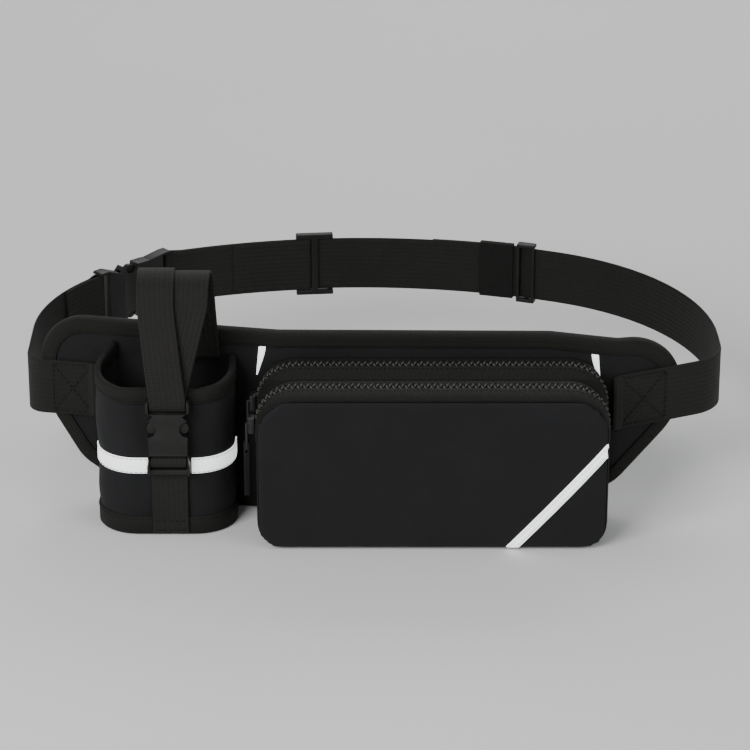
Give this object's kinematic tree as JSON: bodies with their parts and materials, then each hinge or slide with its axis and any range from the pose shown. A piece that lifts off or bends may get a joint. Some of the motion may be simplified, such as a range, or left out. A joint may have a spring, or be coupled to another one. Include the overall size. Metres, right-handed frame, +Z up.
{
  "type": "waist pack",
  "caption": "Running waist pack with a two-zip pouch, a bottle pocket with a buckled strap, a padded lumbar panel and a webbing belt with a side-release buckle.",
  "frame": {"origin": "on the ground under the middle of the pack's bounding box", "axes": "+X to the right of a viewer who faces the pouch, +Y back towards the wearer, +Z up"},
  "size_m": [0.4534, 0.3012, 0.173],
  "materials": {
    "shell_fabric": "matte",
    "panel_foam": "matte",
    "spacer_mesh": "matte",
    "binding_tape": "matte",
    "zip_tape": "matte",
    "zip_coil": "satin",
    "zip_metal": "satin",
    "pull_cord": "matte",
    "reflective_tape": "satin",
    "keeper_elastic": "matte",
    "webbing": "matte",
    "buckle_plastic": "satin"
  },
  "bodies": {
    "bag": {"panel_front_fabric": "shell_fabric", "panel_foam": "panel_foam", "panel_back_mesh": "spacer_mesh", "panel_binding": "binding_tape", "pouch_front_panel": "shell_fabric", "front_pocket_gusset": "shell_fabric", "pocket_divider": "shell_fabric", "main_pocket_gusset": "shell_fabric", "front_zip_tape": "zip_tape", "front_zip_coil": "zip_coil", "main_zip_tape": "zip_tape", "main_zip_coil": "zip_coil", "reflective_diagonal": "reflective_tape", "reflective_flash_left": "reflective_tape", "reflective_flash_right": "reflective_tape", "bottle_pocket_wall": "shell_fabric", "bottle_pocket_base": "shell_fabric", "bottle_rim_binding": "binding_tape", "bottle_base_binding": "binding_tape", "bottle_reflective_band": "reflective_tape", "bottle_front_strip": "webbing", "bottle_plug": "buckle_plastic", "bottle_strap_left": "webbing", "bottle_strap_right": "webbing", "belt_left_webbing": "webbing", "belt_socket": "buckle_plastic", "belt_plug_loop": "webbing", "belt_rear_webbing": "webbing", "belt_fold_layer": "webbing", "belt_tail_adjuster": "buckle_plastic", "belt_right_webbing": "webbing"},
    "front_slider": {"front_zip_slider": "zip_metal"},
    "main_slider": {"main_zip_slider": "zip_metal"},
    "front_pull": {"front_zip_pull": "zip_metal", "front_pull_tab": "pull_cord"},
    "main_pull": {"main_zip_pull": "zip_metal"},
    "bottle_socket": {"bottle_socket": "buckle_plastic"},
    "bottle_prong_left": {"bottle_prong_left": "buckle_plastic"},
    "bottle_prong_right": {"bottle_prong_right": "buckle_plastic"},
    "belt_plug": {"belt_plug": "buckle_plastic"},
    "belt_prong_upper": {"belt_prong_upper": "buckle_plastic"},
    "belt_prong_lower": {"belt_prong_lower": "buckle_plastic"},
    "belt_adjuster": {"belt_adjuster": "buckle_plastic"},
    "belt_keeper": {"belt_keeper": "keeper_elastic"}
  },
  "joints": [
    {"name": "front_zip_travel", "type": "hinge", "parent": "bag", "child": "front_slider", "pos_m": [-0.0495, -0.13, 0.08], "axis": [0, 1, 0], "range_deg": [0, 90]},
    {"name": "main_zip_travel", "type": "hinge", "parent": "bag", "child": "main_slider", "pos_m": [-0.0495, -0.104, 0.084], "axis": [0, 1, 0], "range_deg": [0, 90]},
    {"name": "front_pull_swing", "type": "hinge", "parent": "front_slider", "child": "front_pull", "pos_m": [-0.0781, -0.13, 0.0805], "axis": [0, 1, 0], "range_deg": [0, 35]},
    {"name": "main_pull_swing", "type": "hinge", "parent": "main_slider", "child": "main_pull", "pos_m": [-0.0781, -0.104, 0.0845], "axis": [0, 1, 0], "range_deg": [0, 12]},
    {"name": "bottle_buckle_release", "type": "slide", "parent": "bag", "child": "bottle_socket", "axis": [0, 0, 1], "range_m": [0, 0.032], "deforming": ["bottle_strap_left", "bottle_strap_right", "bottle_prong_left", "bottle_prong_right"]},
    {"name": "bottle_prong_left_flex", "type": "hinge", "parent": "bag", "child": "bottle_prong_left", "pos_m": [-0.1379, -0.132, 0.0635], "axis": [0, 1, 0], "range_deg": [0, 7], "stiffness_Nm_per_rad": 0.01},
    {"name": "bottle_prong_right_flex", "type": "hinge", "parent": "bag", "child": "bottle_prong_right", "pos_m": [-0.1241, -0.132, 0.0635], "axis": [0, -1, 0], "range_deg": [0, 7], "stiffness_Nm_per_rad": 0.01},
    {"name": "belt_buckle_release", "type": "slide", "parent": "bag", "child": "belt_plug", "axis": [0.7218, 0.6921, 0], "range_m": [0, 0.03], "deforming": ["belt_plug_loop", "belt_prong_upper", "belt_prong_lower"]},
    {"name": "belt_prong_upper_flex", "type": "hinge", "parent": "belt_plug", "child": "belt_prong_upper", "pos_m": [-0.16034, 0.10725, 0.0904], "axis": [0.6921, -0.7218, 0], "range_deg": [0, 7], "stiffness_Nm_per_rad": 0.01},
    {"name": "belt_prong_lower_flex", "type": "hinge", "parent": "belt_plug", "child": "belt_prong_lower", "pos_m": [-0.16034, 0.10725, 0.0636], "axis": [-0.6921, 0.7218, 0], "range_deg": [0, 7], "stiffness_Nm_per_rad": 0.01},
    {"name": "belt_adjuster_travel", "type": "hinge", "parent": "bag", "child": "belt_adjuster", "pos_m": [-0.0095, -0.2126, 0.077], "axis": [0, 0, 1], "range_deg": [-4, 4], "deforming": ["belt_fold_layer"]},
    {"name": "belt_keeper_travel", "type": "hinge", "parent": "bag", "child": "belt_keeper", "pos_m": [-0.0095, -0.2126, 0.077], "axis": [0, 0, 1], "range_deg": [0, 5]}
  ]
}
